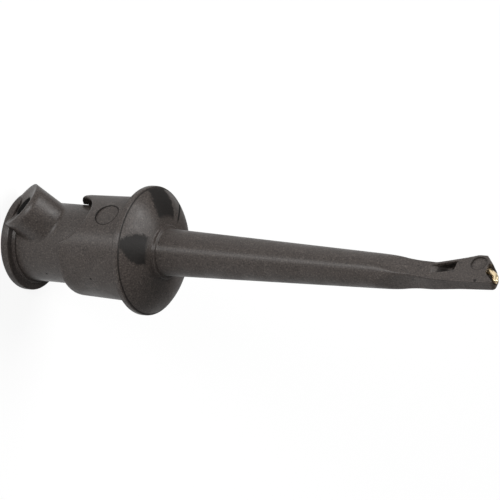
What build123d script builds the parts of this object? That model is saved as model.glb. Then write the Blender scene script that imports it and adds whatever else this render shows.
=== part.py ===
"""Mini grabber test clip: a plunger in a finger barrel pushes a gold hook out of a thin tip.

Millimetres. The pieces are drawn lying down: +X runs from the thumb cap to the tip, +Z is the side
of the wire boss, and +Y is the side that the beak of the tip points to. The origin is the middle of
the thumb cap's flat face. At the end the clip is stood up on that face: +X turns to +Z, +Z to -X.
"""

import os
from math import cos, radians, sin, tan

from build123d import *

# Clearances
RUNNING_GAP = 0.06
WIRE_GAP = 0.05
CAP_GAP = 0.06
STOP_GAP = 0.15
HOOK_GAP = 0.1

# Thumb cap
CAP_OVERHANG = 1.07
CAP_THICKNESS = 1.1
CAP_EDGE_ROUND = 0.45
CAP_FRONT_BEVEL = 0.1
COLLAR_STEP = 0.25
COLLAR_LENGTH = 0.35
SPIGOT_LENGTH = 0.9
SPIGOT_WALL = 0.8

# Plunger
PLUNGER_RADIUS = 4.27
PLUNGER_FRONT = 12.1
PLUNGER_WALL = 0.95
PLUNGER_EDGE = 0.25
CHAMBER_END = 7.4
WEB_THICKNESS = 1.0
SPRING_POCKET_RADIUS = 2.6
TRAVEL = 3.4

# Wire boss on the plunger
BOSS_FOOT = 5.8
BOSS_LEAN = 57.8
BOSS_REACH = 2.034
BOSS_RADIUS = 2.7
BOSS_DRAFT = 0.6
BOSS_ROOT_ROUND = 0.5
WIRE_BORE_RADIUS = 1.08
FUNNEL_RADIUS = 2.3
FUNNEL_DEPTH = 0.35

# Barrel skirt and finger flange
SKIRT_START = 7.1
SKIRT_WALL = 1.02
SKIRT_FLARE = 0.25
SKIRT_SHOULDER = 0.9
BARREL_FLOOR = 16.0
FLANGE_START = 15.5
FLANGE_THICKNESS = 0.76
FLANGE_STEP = 1.26
FLANGE_EDGE_BEVEL = 0.18
DOME_MID_LENGTH = 1.2
DOME_MID_DROP = 1.86
DOME_LENGTH = 1.6
STEM_COLLAR_RADIUS = 2.86
STEM_COLLAR_LENGTH = 0.35
SLOT_SIDE_GAP = 0.45
PIN_MARK_AT = 12.85
PIN_MARK_RADIUS = 1.3
PIN_MARK_DEPTH = 0.2

# Stem
STEM_ROOT_RADIUS = 2.49
STEM_END_BACK = 6.7
STEM_END_RADIUS = 1.61
STEM_BORE_RADIUS = 0.85
STEM_BORE_END_BACK = 9.1

# Tip outline seen from the side of the boss
SCOOP_START_BACK = 12.7
SCOOP_MARGIN = 0.1
SCOOP_MID_BACK = 9.8
SCOOP_MID_HEIGHT = 0.95
SCOOP_ROUND = 10.0
WAIST_BACK = 6.6
WAIST_HEIGHT = 1.1
WAIST_ROUND = 1.2
BEAK_REAR_BACK = 2.6
BEAK_REAR_HEIGHT = 2.68
BEAK_REAR_ROUND = 0.8
BEAK_FRONT_BACK = 1.72
BEAK_FRONT_HEIGHT = 2.69
BEAK_FRONT_ROUND = 0.12
CHEEK_BACK = 0.6
CHEEK_HEIGHT = 1.5
CHEEK_ROUND = 0.6
TIP_END = 56.7
NOSE_HEIGHT = 0.4
NOSE_ROUND = 0.6
CHIN_HEIGHT = -0.73
CHIN_ROUND = 0.32
BELLY_BACK = 6.8
BELLY_HEIGHT = -1.12
BELLY_ROUND = 6.0
BELLY_EDGE_ROUND = 0.16

# Half thickness of the tip at four places along it
BLADE_SHOULDER_HALF = 1.24
BLADE_ROUND = 8.0
BLADE_WAIST_HALF = 0.9
BLADE_MID_BACK = 3.7
BLADE_MID_HALF = 0.66
BLADE_END_HALF = 0.6

# Notch in one wall of the slanted end, whose edge grips the wire under the hook
NOTCH_DEPTH = 1.18
NOTCH_TOP = 1.6
NOTCH_LOW = 0.5
NOTCH_OUT_HEIGHT = -0.58
NOTCH_ROOF_SLOPE = 15

# Round pin mark on the beak
PAD_BACK = 2.25
PAD_HEIGHT = 1.55
PAD_RADIUS = 0.8
PAD_DEPTH = 0.1

# Window that the mould's core leaves in the tip
WINDOW_REAR_BACK = 7.0
WINDOW_FRONT_BACK = 4.55
WINDOW_REAR_LOW = -0.51
WINDOW_REAR_HIGH = 0.58
WINDOW_FRONT_LOW = 0.3
WINDOW_FRONT_HIGH = 1.54
WINDOW_RAMP_SLOPE = 34

# Hook contact
HOOK_WIRE_RADIUS = 0.3
HOOK_TAIL_AT = 6.2
HOOK_REAR_BACK = 1.7
HOOK_PEAK = 1.56
CLAW_BACK = 0.2
CLAW_HEIGHT = 0.53
HOOK_END_HEIGHT = -0.2
FOOT_BEND_RADIUS = 0.42
PEAK_BEND_RADIUS = 0.4
CLAW_BEND_RADIUS = 0.6

# Solder terminal
CUP_RADIUS = 1.1
CUP_BORE_RADIUS = 0.75
CUP_LENGTH = 2.4
TERMINAL_HEAD_RADIUS = 1.5
TERMINAL_HEAD_LENGTH = 0.6
SHANK_RADIUS = 1.0
SHANK_LENGTH = 1.5

# Return spring
SPRING_WIRE = 0.36
SPRING_RADIUS = 2.0
SPRING_TURNS = 5
SPRING_SIDES = 6

# Worked out from the sizes above
JOINT_LINE = CAP_THICKNESS + COLLAR_LENGTH
CHAMBER_RADIUS = PLUNGER_RADIUS - PLUNGER_WALL
WEB_FRONT = CHAMBER_END + WEB_THICKNESS
BARREL_BORE_RADIUS = PLUNGER_RADIUS + RUNNING_GAP
CAP_RADIUS = PLUNGER_RADIUS + CAP_OVERHANG
COLLAR_RADIUS = PLUNGER_RADIUS + COLLAR_STEP
SKIRT_RADIUS = BARREL_BORE_RADIUS + SKIRT_WALL
SKIRT_FLANGE_RADIUS = SKIRT_RADIUS + SKIRT_FLARE
FLANGE_RADIUS = SKIRT_FLANGE_RADIUS + FLANGE_STEP
DOME_MID_RADIUS = FLANGE_RADIUS - DOME_MID_DROP
SCOOP_START = TIP_END - SCOOP_START_BACK
SCOOP_MID_AT = TIP_END - SCOOP_MID_BACK
WAIST_AT = TIP_END - WAIST_BACK
BEAK_REAR_AT = TIP_END - BEAK_REAR_BACK
BEAK_FRONT_AT = TIP_END - BEAK_FRONT_BACK
CHEEK_AT = TIP_END - CHEEK_BACK
BELLY_AT = TIP_END - BELLY_BACK
BLADE_MID_AT = TIP_END - BLADE_MID_BACK
NOTCH_BACK_AT = TIP_END - NOTCH_DEPTH
PAD_AT = TIP_END - PAD_BACK
WINDOW_REAR_AT = TIP_END - WINDOW_REAR_BACK
WINDOW_FRONT_AT = TIP_END - WINDOW_FRONT_BACK
STEM_END = TIP_END - STEM_END_BACK
STEM_BORE_END = TIP_END - STEM_BORE_END_BACK
HOOK_REAR_AT = TIP_END - HOOK_REAR_BACK
CLAW_AT = TIP_END - CLAW_BACK
HOOK_END_AT = TIP_END
FLANGE_FRONT = FLANGE_START + FLANGE_THICKNESS
DOME_FRONT = FLANGE_FRONT + DOME_LENGTH
STEM_ROOT = DOME_FRONT + STEM_COLLAR_LENGTH
STEM_TAPER = (STEM_ROOT_RADIUS - STEM_END_RADIUS) / (STEM_END - STEM_ROOT)
BOSS_DIRECTION = Vector(-cos(radians(BOSS_LEAN)), 0, sin(radians(BOSS_LEAN)))
BOSS_SHIFT = PLUNGER_RADIUS / tan(radians(BOSS_LEAN))
BOSS_LENGTH = PLUNGER_RADIUS / sin(radians(BOSS_LEAN)) + BOSS_REACH
BOSS_FRONT = BOSS_FOOT - BOSS_SHIFT + BOSS_RADIUS / sin(radians(BOSS_LEAN))
SLOT_HALF_WIDTH = BOSS_RADIUS + SLOT_SIDE_GAP
SLOT_FRONT = BOSS_FRONT + BOSS_ROOT_ROUND + TRAVEL + STOP_GAP
PASSAGE_RADIUS = HOOK_WIRE_RADIUS + WIRE_GAP
MOUTH_AT = HOOK_REAR_AT - HOOK_WIRE_RADIUS - HOOK_GAP
MOUTH_TOP = HOOK_PEAK
BEYOND = 2 * FLANGE_RADIUS
UPRIGHT = Rotation(0, -90, 0)


def disc_plane(at):
    """The plane across the clip's axis at one X."""
    return Plane(origin=(at, 0, 0), x_dir=(0, 1, 0), z_dir=(1, 0, 0))


def rod(start, end, radius):
    """A round bar along the clip's axis from one X to another."""
    return disc_plane(start) * extrude(Circle(radius), end - start)


def block(x_range, y_range, z_range):
    """A box between two values on each axis."""
    ranges = (x_range, y_range, z_range)
    size = [high - low for low, high in ranges]
    middle = [(high + low) / 2 for low, high in ranges]
    return Pos(*middle) * Box(*size)


def slab(outline, half_width):
    """A closed outline in the XY plane, thickened to both sides of it."""
    return extrude(make_face(outline), half_width, both=True)


def boss_plane(distance):
    """The plane across the wire boss, at a distance from its foot on the clip's axis."""
    foot = Vector(BOSS_FOOT, 0, 0) + BOSS_DIRECTION * distance
    return Plane(origin=foot, x_dir=(0, 1, 0), z_dir=BOSS_DIRECTION)


def boss_cone(start, length, radius, end_radius):
    """A cone on the wire boss's axis, starting at a distance from its foot."""
    upright = (Align.CENTER, Align.CENTER, Align.MIN)
    return boss_plane(start) * Cone(radius, end_radius, length, align=upright)


def thumb_cap():
    """The thumb disc, its collar and the hollow spigot that closes the plunger."""
    disc = rod(0, CAP_THICKNESS, CAP_RADIUS)
    back = disc.edges().filter_by(GeomType.CIRCLE).sort_by(Axis.X)[0]
    disc = fillet(back, CAP_EDGE_ROUND)
    disc = chamfer(disc.edges().filter_by(GeomType.CIRCLE).sort_by(Axis.X)[-1], CAP_FRONT_BEVEL)
    collar = rod(CAP_THICKNESS - CAP_EDGE_ROUND, JOINT_LINE, COLLAR_RADIUS)
    spigot = rod(JOINT_LINE - CAP_EDGE_ROUND, JOINT_LINE + SPIGOT_LENGTH, CHAMBER_RADIUS)
    hollow = rod(JOINT_LINE, JOINT_LINE + SPIGOT_LENGTH, CHAMBER_RADIUS - SPIGOT_WALL)
    return disc + collar + spigot - hollow


def boss_blank():
    """The outside of plunger and boss, melted together before the cap's seat is cut."""
    sleeve = rod(-BEYOND, PLUNGER_FRONT, PLUNGER_RADIUS)
    draft = BOSS_LENGTH * tan(radians(BOSS_DRAFT))
    boss = boss_cone(0, BOSS_LENGTH, BOSS_RADIUS + draft, BOSS_RADIUS)
    body = sleeve + boss
    curves = [e for e in body.edges() if e.geom_type not in (GeomType.CIRCLE, GeomType.LINE)]
    body = fillet(curves, BOSS_ROOT_ROUND)
    front = body.edges().filter_by(GeomType.CIRCLE).sort_by(Axis.X)[-1]
    return chamfer(front, PLUNGER_EDGE)


def plunger():
    """The sliding sleeve with its web and the leaning boss that takes the wire."""
    body = boss_blank()
    body -= rod(-2 * BEYOND, CAP_THICKNESS + CAP_GAP, CAP_RADIUS + CAP_GAP)
    body -= rod(-2 * BEYOND, JOINT_LINE, COLLAR_RADIUS + CAP_GAP)
    body -= rod(JOINT_LINE, CHAMBER_END, CHAMBER_RADIUS)
    body -= rod(WEB_FRONT, PLUNGER_FRONT, SPRING_POCKET_RADIUS)
    body -= rod(CHAMBER_END, WEB_FRONT, SHANK_RADIUS)
    body -= boss_plane(0) * extrude(Circle(WIRE_BORE_RADIUS), BOSS_LENGTH)
    return body - boss_cone(BOSS_LENGTH - FUNNEL_DEPTH, FUNNEL_DEPTH, WIRE_BORE_RADIUS, FUNNEL_RADIUS)


def barrel_shell():
    """Skirt, finger flange, dome and stem: one turned outline with the plunger's bore."""
    shoulder = (SKIRT_START, SKIRT_RADIUS - SKIRT_SHOULDER)
    skirt = (SKIRT_START + SKIRT_SHOULDER, SKIRT_RADIUS)
    rim = (FLANGE_FRONT, FLANGE_RADIUS)
    dome = (DOME_FRONT, STEM_COLLAR_RADIUS)
    outline = [
        Line((SKIRT_START, BARREL_BORE_RADIUS), shoulder),
        RadiusArc(shoulder, skirt, SKIRT_SHOULDER),
        Polyline(skirt, (FLANGE_START, SKIRT_FLANGE_RADIUS), (FLANGE_START, FLANGE_RADIUS), rim),
        ThreePointArc(rim, (FLANGE_FRONT + DOME_MID_LENGTH, DOME_MID_RADIUS), dome),
        Polyline(
            dome,
            (STEM_ROOT, STEM_COLLAR_RADIUS),
            (STEM_ROOT, STEM_ROOT_RADIUS),
            (STEM_END, STEM_END_RADIUS),
            (STEM_END, 0),
            (BARREL_FLOOR, 0),
            (BARREL_FLOOR, BARREL_BORE_RADIUS),
            (SKIRT_START, BARREL_BORE_RADIUS),
        ),
    ]
    shell = revolve(make_face(Curve() + outline), Axis.X)
    rims = [e for e in shell.edges().filter_by(GeomType.CIRCLE) if e.radius > FLANGE_RADIUS - RUNNING_GAP]
    return chamfer(rims, FLANGE_EDGE_BEVEL)


def boss_slot():
    """The round-ended slot in the skirt that the wire boss slides in."""
    middle = SLOT_FRONT - SLOT_HALF_WIDTH
    straight = block((-BEYOND, middle), (-SLOT_HALF_WIDTH, SLOT_HALF_WIDTH), (0, BEYOND))
    return straight + Pos(middle, 0, 0) * extrude(Circle(SLOT_HALF_WIDTH), BEYOND)


def pin_mark():
    """The shallow round mark of a mould pin on the skirt."""
    share = (PIN_MARK_AT - SKIRT_START) / (FLANGE_START - SKIRT_START)
    crest = SKIRT_RADIUS + (SKIRT_FLANGE_RADIUS - SKIRT_RADIUS) * share
    return Pos(PIN_MARK_AT, 0, crest - PIN_MARK_DEPTH) * extrude(Circle(PIN_MARK_RADIUS), BEYOND)


def stem_radius(at):
    """The tapering stem's radius at one X."""
    return STEM_ROOT_RADIUS - STEM_TAPER * (at - STEM_ROOT)


def beak():
    """The tip's outline from the side: waist, beak, slanted end, nose and chin."""
    root = stem_radius(SCOOP_START) + SCOOP_MARGIN
    outline = FilletPolyline(
        (SCOOP_START, root),
        (SCOOP_MID_AT, SCOOP_MID_HEIGHT),
        (WAIST_AT, WAIST_HEIGHT),
        (BEAK_REAR_AT, BEAK_REAR_HEIGHT),
        (BEAK_FRONT_AT, BEAK_FRONT_HEIGHT),
        (CHEEK_AT, CHEEK_HEIGHT),
        (TIP_END, NOSE_HEIGHT),
        (TIP_END, CHIN_HEIGHT),
        (BELLY_AT, BELLY_HEIGHT),
        (SCOOP_MID_AT, -SCOOP_MID_HEIGHT),
        (SCOOP_START, -root),
        radius=[
            0,
            SCOOP_ROUND,
            WAIST_ROUND,
            BEAK_REAR_ROUND,
            BEAK_FRONT_ROUND,
            CHEEK_ROUND,
            NOSE_ROUND,
            CHIN_ROUND,
            BELLY_ROUND,
            SCOOP_ROUND,
            0,
        ],
        close=True,
    )
    return slab(outline, BEYOND)


def blade_profile(outline):
    """A flat outline of X and Z, thickened along Y."""
    return extrude(Plane.XZ * outline, BEYOND, both=True)


def blade():
    """The tip's outline from above: both scoops that thin the round stem to a blade."""
    halves = [
        (SCOOP_START, stem_radius(SCOOP_START) + SCOOP_MARGIN),
        (SCOOP_MID_AT, BLADE_SHOULDER_HALF),
        (WAIST_AT, BLADE_WAIST_HALF),
        (BLADE_MID_AT, BLADE_MID_HALF),
        (TIP_END, BLADE_END_HALF),
    ]
    middle = [BLADE_ROUND] * (len(halves) - 2)
    upper = FilletPolyline(*halves, radius=middle)
    lower = FilletPolyline(*[(x, -z) for x, z in halves], radius=middle)
    ends = [Line(upper @ 1, lower @ 1), Line(lower @ 0, upper @ 0)]
    return blade_profile(make_face(Curve() + [upper, lower, *ends]))


def tip():
    """The blade with its beak, cut to the round stem at the root."""
    flat = beak() & blade()
    sides = [e for e in flat.edges() if abs(e.center().Z) > BLADE_END_HALF / 2]
    belly = [e for e in sides if e.center().Y < CHIN_HEIGHT / 2]
    flat = fillet([e for e in belly if e.center().X > SCOOP_START + SCOOP_MARGIN], BELLY_EDGE_ROUND)
    root = disc_plane(SCOOP_START) * Cone(
        stem_radius(SCOOP_START),
        stem_radius(STEM_END),
        STEM_END - SCOOP_START,
        align=(Align.CENTER, Align.CENTER, Align.MIN),
    )
    head = block((STEM_END, 2 * TIP_END), (-BEYOND, BEYOND), (-BEYOND, BEYOND))
    return (flat & root) + (flat & head)


def wire_passage():
    """The contact's way out: wide stem bore, close passage in the tip and the hook's tall mouth."""
    passage = rod(BARREL_FLOOR, STEM_BORE_END, STEM_BORE_RADIUS)
    passage += rod(BARREL_FLOOR, 2 * TIP_END, PASSAGE_RADIUS)
    width = (-PASSAGE_RADIUS, PASSAGE_RADIUS)
    return passage + block((MOUTH_AT, 2 * TIP_END), (-PASSAGE_RADIUS, MOUTH_TOP), width)


def end_notch():
    """The notch that opens the near wall and the mouth, with an edge that grips the wire."""
    reach = TIP_END - NOTCH_BACK_AT
    rise = reach * tan(radians(NOTCH_ROOF_SLOPE))
    outline = Polyline(
        (NOTCH_BACK_AT, NOTCH_LOW),
        (NOTCH_BACK_AT, NOTCH_TOP),
        (TIP_END, NOTCH_TOP + rise),
        (TIP_END, NOTCH_OUT_HEIGHT),
        close=True,
    )
    return Pos(0, 0, -PASSAGE_RADIUS) * extrude(make_face(outline), BEYOND)


def core_window():
    """The pocket that the mould's core leaves: its floor ramps down until it breaks through."""
    outline = Polyline(
        (WINDOW_REAR_AT, WINDOW_REAR_LOW),
        (WINDOW_REAR_AT, WINDOW_REAR_HIGH),
        (WINDOW_FRONT_AT, WINDOW_FRONT_HIGH),
        (WINDOW_FRONT_AT, WINDOW_FRONT_LOW),
        close=True,
    )
    reach = WINDOW_FRONT_AT - WINDOW_REAR_AT
    ramp = Polyline(
        (WINDOW_REAR_AT, BLADE_WAIST_HALF),
        (WINDOW_FRONT_AT, BLADE_WAIST_HALF - reach * tan(radians(WINDOW_RAMP_SLOPE))),
        (WINDOW_FRONT_AT, BEYOND),
        (WINDOW_REAR_AT, BEYOND),
        close=True,
    )
    return slab(outline, BEYOND) & blade_profile(make_face(ramp))


def barrel():
    """The whole barrel: shell, slot, pin marks and tip."""
    keep = block((-BEYOND, SCOOP_START), (-BEYOND, BEYOND), (-BEYOND, BEYOND))
    shell = barrel_shell() - boss_slot() - pin_mark()
    pad = Pos(PAD_AT, PAD_HEIGHT, BLADE_MID_HALF - PAD_DEPTH) * extrude(Circle(PAD_RADIUS), BEYOND)
    return (shell & keep) + tip() - wire_passage() - end_notch() - core_window() - pad


def hook_contact():
    """The gold-plated wire: straight to the tip, then up, over and down into the hook."""
    path = FilletPolyline(
        (HOOK_TAIL_AT, 0),
        (HOOK_REAR_AT, 0),
        (HOOK_REAR_AT, HOOK_PEAK),
        (CLAW_AT, CLAW_HEIGHT),
        (HOOK_END_AT, HOOK_END_HEIGHT),
        radius=[FOOT_BEND_RADIUS, PEAK_BEND_RADIUS, CLAW_BEND_RADIUS],
    )
    return sweep(disc_plane(HOOK_TAIL_AT) * Circle(HOOK_WIRE_RADIUS), path)


def solder_terminal():
    """The headed brass sleeve in the web: a half-open cup for the lead and a shank."""
    head = CHAMBER_END - TERMINAL_HEAD_LENGTH
    cup = rod(head - CUP_LENGTH, head, CUP_RADIUS) - rod(head - CUP_LENGTH, head, CUP_BORE_RADIUS)
    cup -= block((head - CUP_LENGTH, head), (-CUP_RADIUS, CUP_RADIUS), (0, CUP_RADIUS))
    body = cup + rod(head, CHAMBER_END, TERMINAL_HEAD_RADIUS)
    body += rod(CHAMBER_END, CHAMBER_END + SHANK_LENGTH, SHANK_RADIUS)
    return body - rod(head, CHAMBER_END + SHANK_LENGTH, HOOK_WIRE_RADIUS)


def return_spring():
    """The compression spring between the plunger's web and the barrel's floor, ground flat."""
    length = BARREL_FLOOR - WEB_FRONT - SPRING_WIRE / 2
    path = Helix(
        length / SPRING_TURNS,
        length,
        SPRING_RADIUS,
        center=(WEB_FRONT + SPRING_WIRE / 4, 0, 0),
        direction=(1, 0, 0),
    )
    section = Plane(origin=path @ 0, z_dir=path % 0) * RegularPolygon(SPRING_WIRE / 2, SPRING_SIDES)
    coil = sweep(section, path, is_frenet=True)
    return coil & rod(WEB_FRONT, BARREL_FLOOR, 2 * SPRING_RADIUS)


def main():
    os.makedirs("parts", exist_ok=True)
    pieces = {
        "thumb_cap": thumb_cap(),
        "plunger": plunger(),
        "barrel": barrel(),
        "hook_contact": hook_contact(),
        "solder_terminal": solder_terminal(),
        "return_spring": return_spring(),
    }
    for name, piece in pieces.items():
        export_step(UPRIGHT * piece, "parts/" + name + ".step")


main()
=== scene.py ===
"""Looks of the mini grabber test clip, laid out as an add-on and run as a script on the packed frame."""

import math

import bmesh
import bpy
import numpy as np
from mathutils import Matrix, Vector


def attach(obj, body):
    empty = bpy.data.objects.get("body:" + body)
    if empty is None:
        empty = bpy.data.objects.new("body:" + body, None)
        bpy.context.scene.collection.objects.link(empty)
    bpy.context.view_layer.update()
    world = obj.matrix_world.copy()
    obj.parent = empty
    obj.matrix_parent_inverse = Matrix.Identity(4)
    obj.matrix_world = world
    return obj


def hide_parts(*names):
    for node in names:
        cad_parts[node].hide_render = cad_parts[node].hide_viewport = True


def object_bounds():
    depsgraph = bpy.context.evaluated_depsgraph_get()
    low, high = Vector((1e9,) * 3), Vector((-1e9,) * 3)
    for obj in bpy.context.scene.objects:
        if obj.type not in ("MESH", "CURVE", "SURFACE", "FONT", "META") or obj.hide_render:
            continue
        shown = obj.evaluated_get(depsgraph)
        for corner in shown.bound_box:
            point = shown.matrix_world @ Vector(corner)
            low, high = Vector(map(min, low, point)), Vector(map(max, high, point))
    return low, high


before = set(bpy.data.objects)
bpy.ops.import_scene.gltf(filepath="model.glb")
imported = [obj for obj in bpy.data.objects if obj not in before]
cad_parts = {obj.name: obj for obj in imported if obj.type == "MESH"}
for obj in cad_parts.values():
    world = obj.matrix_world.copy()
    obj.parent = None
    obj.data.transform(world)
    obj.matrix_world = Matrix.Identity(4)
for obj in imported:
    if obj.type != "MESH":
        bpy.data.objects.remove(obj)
CAD_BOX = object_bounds()

bl_info = {
    "name": "Grabber Test Clip",
    "version": (1, 0, 0),
    "blender": (4, 5, 0),
    "location": "3D View > Sidebar > Test Clip",
    "description": "Builds the finished pieces of a sprung grabber test clip with moulded nylon and gold",
    "category": "Add Mesh",
}

MM = 0.001
BEYOND = 8 * MM  # farther from the axis than any skin, where cutters end
FAR = 20 * MM  # a limit of the tip's radius that never comes into play
SAME_POINT = 0.0002 * MM  # points of a grid that are nearer than this are one
LINE_EDGE = 0.04 * MM  # softness of the lines that are drawn on the nylon
PIT = 0.12 * MM  # radius of a small pit
SHARP_ANGLE = math.radians(32)  # faces that meet at more than this show an edge
QUARTER = math.pi / 2
WHITE = (1, 1, 1, 1)

# Edges of the two fan-shaped patches of painted dark reflection on the dome, and of the dome's seam: each an
# angle at the rim and one at the collar.
UPPER_DARK_REFLECTION_FAN = ((0.56, 0.42), (1.0, 1.15))
LOWER_DARK_REFLECTION_FAN = ((2.09, 1.87), (2.25, 2.62))
DOME_SEAM = ((0.0, 0.14), (0.06, 0.2))
# Colour of the painted shade and painted dark reflection on the nylon, and of the dome's seam and the pin
# mark.
SHADE_AND_MARK_DARK = (0.004, 0.0034, 0.003)

# The photograph's view: which way its right edge and its line of sight point. Then the ways to the lights.
VIEW_RIGHT = (0.3533, 0.3908, 0.8499)
VIEW_AHEAD = (0.6676, 0.5311, -0.5218)
TO_KEY_LIGHT = Vector((-0.916802, -0.422962, 0))
TO_TOP_LIGHT = Vector((-0.16, 0.44, 0.88))


def length(label, description, value):
    """A length property whose default is given in millimetres."""
    return bpy.props.FloatProperty(
        name=label, description=description, default=value * MM, unit="LENGTH", precision=5
    )


def point(label, description, *values):
    """A point or several lengths, with defaults in millimetres."""
    return bpy.props.FloatVectorProperty(
        name=label,
        description=description,
        size=len(values),
        default=[v * MM for v in values],
        subtype="XYZ_LENGTH",
        precision=5,
    )


def colour_of(label, description, *values):
    """A colour property, given as linear red, green and blue."""
    return bpy.props.FloatVectorProperty(
        name=label, description=description, subtype="COLOR", size=3, min=0, max=1, default=values
    )


def share_of(label, description, value):
    """A number between 0 and 1."""
    return bpy.props.FloatProperty(
        name=label, description=description, default=value, subtype="FACTOR", min=0, max=1
    )


def number(label, description, value, low=0.0):
    """A plain number that isn't below its lowest value."""
    return bpy.props.FloatProperty(name=label, description=description, default=value, min=low)


def angle_of(label, description, degrees):
    """An angle property whose default is given in degrees."""
    return bpy.props.FloatProperty(
        name=label, description=description, default=math.radians(degrees), subtype="ANGLE", unit="ROTATION"
    )


class CLIP_PG_barrel(bpy.types.PropertyGroup):
    """Sizes of the barrel"""

    bore: length("Bore", "Radius that the plunger runs in", 4.33)
    floor: length("Floor", "Where the bore ends inside", 16.0)
    skirt_start: length("Skirt start", "Where the skirt begins", 7.1)
    skirt_radius: length("Skirt radius", "Skirt radius at its shoulder", 5.35)
    skirt_front_radius: length("Skirt front radius", "Skirt radius at the finger flange", 5.6)
    shoulder: length("Shoulder", "Round at the skirt's rear end", 0.9)
    flange_start: length("Flange start", "Rear face of the finger flange", 15.5)
    flange_thickness: length("Flange thickness", "Width of the flange's rim", 0.76)
    flange_radius: length("Flange radius", "Radius of the flange's rim", 6.86)
    flange_round: length("Flange round", "Round of the rim's edges", 0.2)
    rim_step: length("Rim step", "Small step between the rim and the dome", 0.12)
    dome_middle: point("Dome middle", "Distance from the rim and radius half way down the dome", 1.2, 5.0)
    dome_length: length("Dome length", "Length of the dome", 1.6)
    collar_radius: length("Collar radius", "Radius of the step at the stem's root", 2.86)
    collar_length: length("Collar length", "Length of that step", 0.35)
    stem_root: length("Stem root", "Stem radius at its root", 2.49)
    stem_tip: length("Stem tip", "Stem radius where the blade has taken over", 1.61)
    stem_end: length("Stem end", "Where the stem's cone is given up", 50.0)
    stem_bore: length("Stem bore", "Inner radius of the stem", 0.85)
    stem_bore_end: length("Stem bore end", "Where the wide bore ends", 47.6)
    passage: length("Passage", "Radius of the close passage for the wire", 0.35)
    slot_half: length("Slot half width", "Half the width of the boss slot", 3.15)
    slot_front: length("Slot front", "Front end of the boss slot", 10.352)
    slot_round: length("Slot round", "Round of the slot's outer edge", 0.3)
    mark: point("Pin mark", "Place, radius and depth of the round mark on the skirt", 12.85, 1.3, 0.2)
    pit: point("Pit", "Place of a small pit in the skirt", -1.11, -5.34, 11.46)


class CLIP_PG_tip(bpy.types.PropertyGroup):
    """Sizes of the tip"""

    start: length("Start", "Where the round stem begins to flatten", 44.0)
    root: length("Root", "Half height of the blade at its start, just outside the stem", 1.876)
    end: length("End", "Front end of the tip", 56.7)
    scoop: point("Scoop", "Place and height of the flattened root", 46.9, 0.95)
    waist: point("Waist", "Place and height of the narrowest place", 50.1, 1.1)
    beak_rear: point("Beak rear", "Rear corner of the beak", 54.1, 2.68)
    beak_front: point("Beak front", "Front corner of the beak", 54.98, 2.69)
    cheek: point("Cheek", "Bend in the slanted end", 56.1, 1.5)
    nose: length("Nose", "Height of the nose", 0.4)
    chin: length("Chin", "Height of the chin", -0.73)
    belly: point("Belly", "Place and height of the underside", 49.9, -1.12)
    blade: point("Blade", "Half thickness at the scoop, the waist and the beak's root", 1.24, 0.9, 0.66)
    beak_root: length("Beak root", "Where the blade has thinned", 53.0)
    blade_end: length("Blade end", "Half thickness at the tip's end", 0.6)
    softness: number("Edge softness", "Power of the soft minimum that joins the faces", 15.0, 4.0)
    notch: point("Notch", "Back of the notch and its upper and lower height there", 55.52, 1.6, 0.5)
    notch_out: length("Notch out", "Height where the notch leaves the front", -0.58)
    notch_rise: angle_of("Notch rise", "Slope of the notch's upper face", 15)
    mouth: point("Mouth", "Back and top of the mouth for the wire", 54.62, 1.56)
    pad: point("Pad mark", "Place, height and radius of the round mark on the beak", 54.45, 1.55, 0.8)
    pad_floor: length("Pad floor", "Distance of the mark's floor from the middle plane", 0.53)
    window_rear: point("Window rear", "Place, low and high edge of the window's rear", 49.7, -0.51, 0.58)
    window_front: point("Window front", "Place, low and high edge of its front", 52.15, 0.3, 1.54)
    window_floor: length("Window floor", "Distance of its floor from the middle plane, at its rear", 0.9)
    window_ramp: angle_of("Window ramp", "Slope at which the window's floor falls", 34)
    pin: point("Pin", "Place of the small mark beside the notch", -0.62, -0.65, 54.85)


class CLIP_PG_plunger(bpy.types.PropertyGroup):
    """Places of the plunger's painted shade"""

    boss: length("Boss", "Where the wire boss's axis leaves the clip's", 5.8)
    lean: angle_of("Lean", "Angle between the two axes", 57.8)
    bore: length("Bore", "Radius of the wire's bore", 1.06)
    bore_edge: length("Bore edge", "Radius at which the bore's shade has faded", 1.3)
    pit: point("Pit", "Place of a small pit in the sleeve", 0.14, -4.27, 4.61)


class CLIP_PG_cap(bpy.types.PropertyGroup):
    """Sizes of the thumb cap"""

    radius: length("Radius", "Radius of the thumb disc", 5.34)
    thickness: length("Thickness", "Thickness of the thumb disc", 1.1)
    rear_round: length("Rear round", "Round of the edge that the thumb feels", 0.45)
    front_round: length("Front round", "Round of the disc's front edge", 0.12)
    collar_radius: length("Collar radius", "Radius of the step between disc and sleeve", 4.52)
    collar_end: length("Collar end", "Where the collar meets the sleeve", 1.45)
    spigot_end: length("Spigot end", "Where the spigot ends inside the sleeve", 2.35)
    spigot_radius: length("Spigot radius", "Outer radius of the spigot", 3.32)
    spigot_bore: length("Spigot bore", "Inner radius of the spigot", 2.52)


class CLIP_PG_hook(bpy.types.PropertyGroup):
    """Sizes of the hook wire"""

    wire_radius: length("Wire radius", "Radius of the plated wire", 0.3)
    tail: length("Tail", "Where the wire starts inside the plunger", 6.2)
    rear: length("Rear", "Where the wire rises in the mouth", 55.0)
    peak: length("Peak", "Height of the wire's highest bend", 1.56)
    claw: point("Claw", "Where the claw turns down", 56.5, 0.53)
    end: point("End", "Where the claw ends", 56.7, -0.2)
    bends: point("Bends", "Radius of the three bends", 0.42, 0.4, 0.6)


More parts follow.
